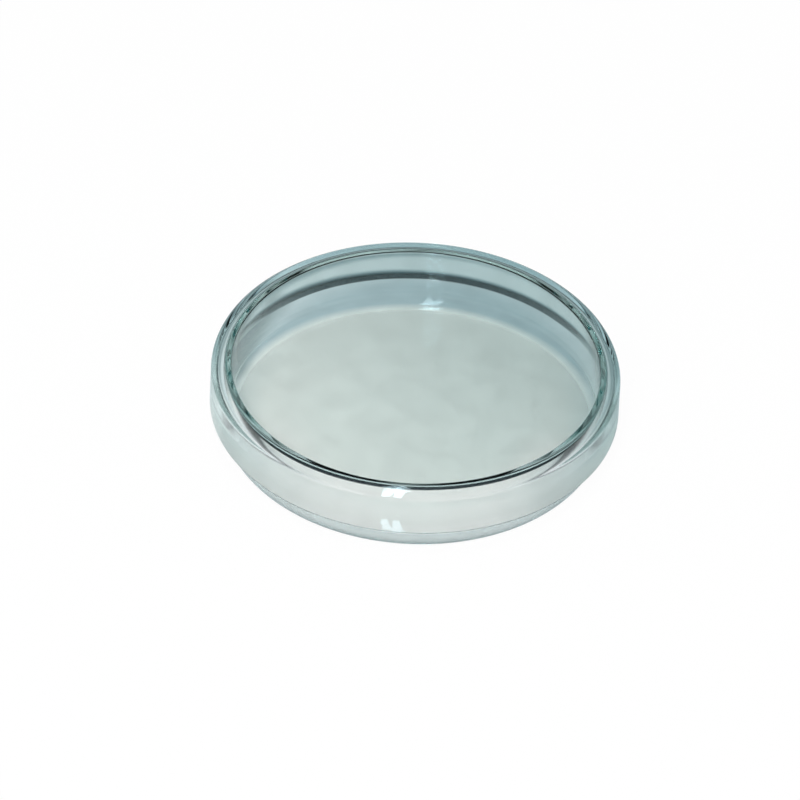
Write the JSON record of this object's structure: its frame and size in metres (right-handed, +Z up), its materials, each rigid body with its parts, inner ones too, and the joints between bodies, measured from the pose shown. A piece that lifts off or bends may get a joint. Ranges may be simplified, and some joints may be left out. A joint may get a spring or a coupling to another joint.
{
  "type": "covered glass dish",
  "caption": "Shallow round glass dish for cultures or crystallizing, closed by a loose flat glass lid whose skirt hangs down over the dish's wall.",
  "frame": {"origin": "centre of the dish's flat underside, on the table", "axes": "+Z up along the axis of the dish and lid; the picture looks along +Y from above"},
  "size_m": [0.1, 0.1, 0.0206],
  "materials": {
    "dish_glass": "clear pressed glass with a faint blue-green cast",
    "lid_glass": "clear pressed glass with a faint blue-green cast"
  },
  "bodies": {
    "dish": {"dish": "dish_glass"},
    "lid": {"lid": "lid_glass"}
  },
  "joints": [
    {"name": "lid_lift", "type": "slide", "parent": "dish", "child": "lid", "axis": [0, 0, 1], "range_m": [0, 0.045]}
  ]
}
